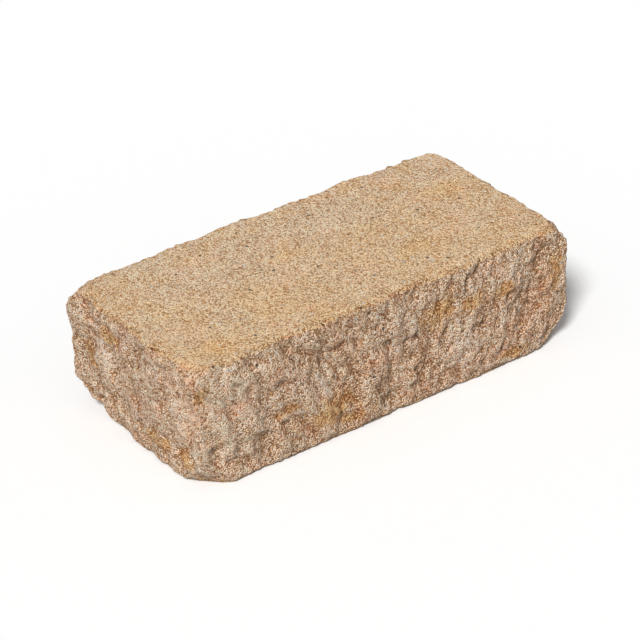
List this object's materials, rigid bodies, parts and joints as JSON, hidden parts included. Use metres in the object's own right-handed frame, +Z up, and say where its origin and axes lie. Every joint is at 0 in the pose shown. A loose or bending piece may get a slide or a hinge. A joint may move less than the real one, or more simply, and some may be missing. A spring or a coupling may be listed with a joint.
{
  "type": "wall block",
  "caption": "Solid oblong concrete wall block, flat top and bottom, wavy split faces on all sides, knocked corners and worn arrises.",
  "frame": {"origin": "middle of the flat bottom face", "axes": "+X along the length to the right end, +Y from the split front to the back, +Z up through the height"},
  "size_m": [0.356, 0.1782, 0.102],
  "materials": {
    "cast_concrete": "matte"
  },
  "bodies": {
    "root": {"wall_block": "cast_concrete"}
  },
  "joints": []
}
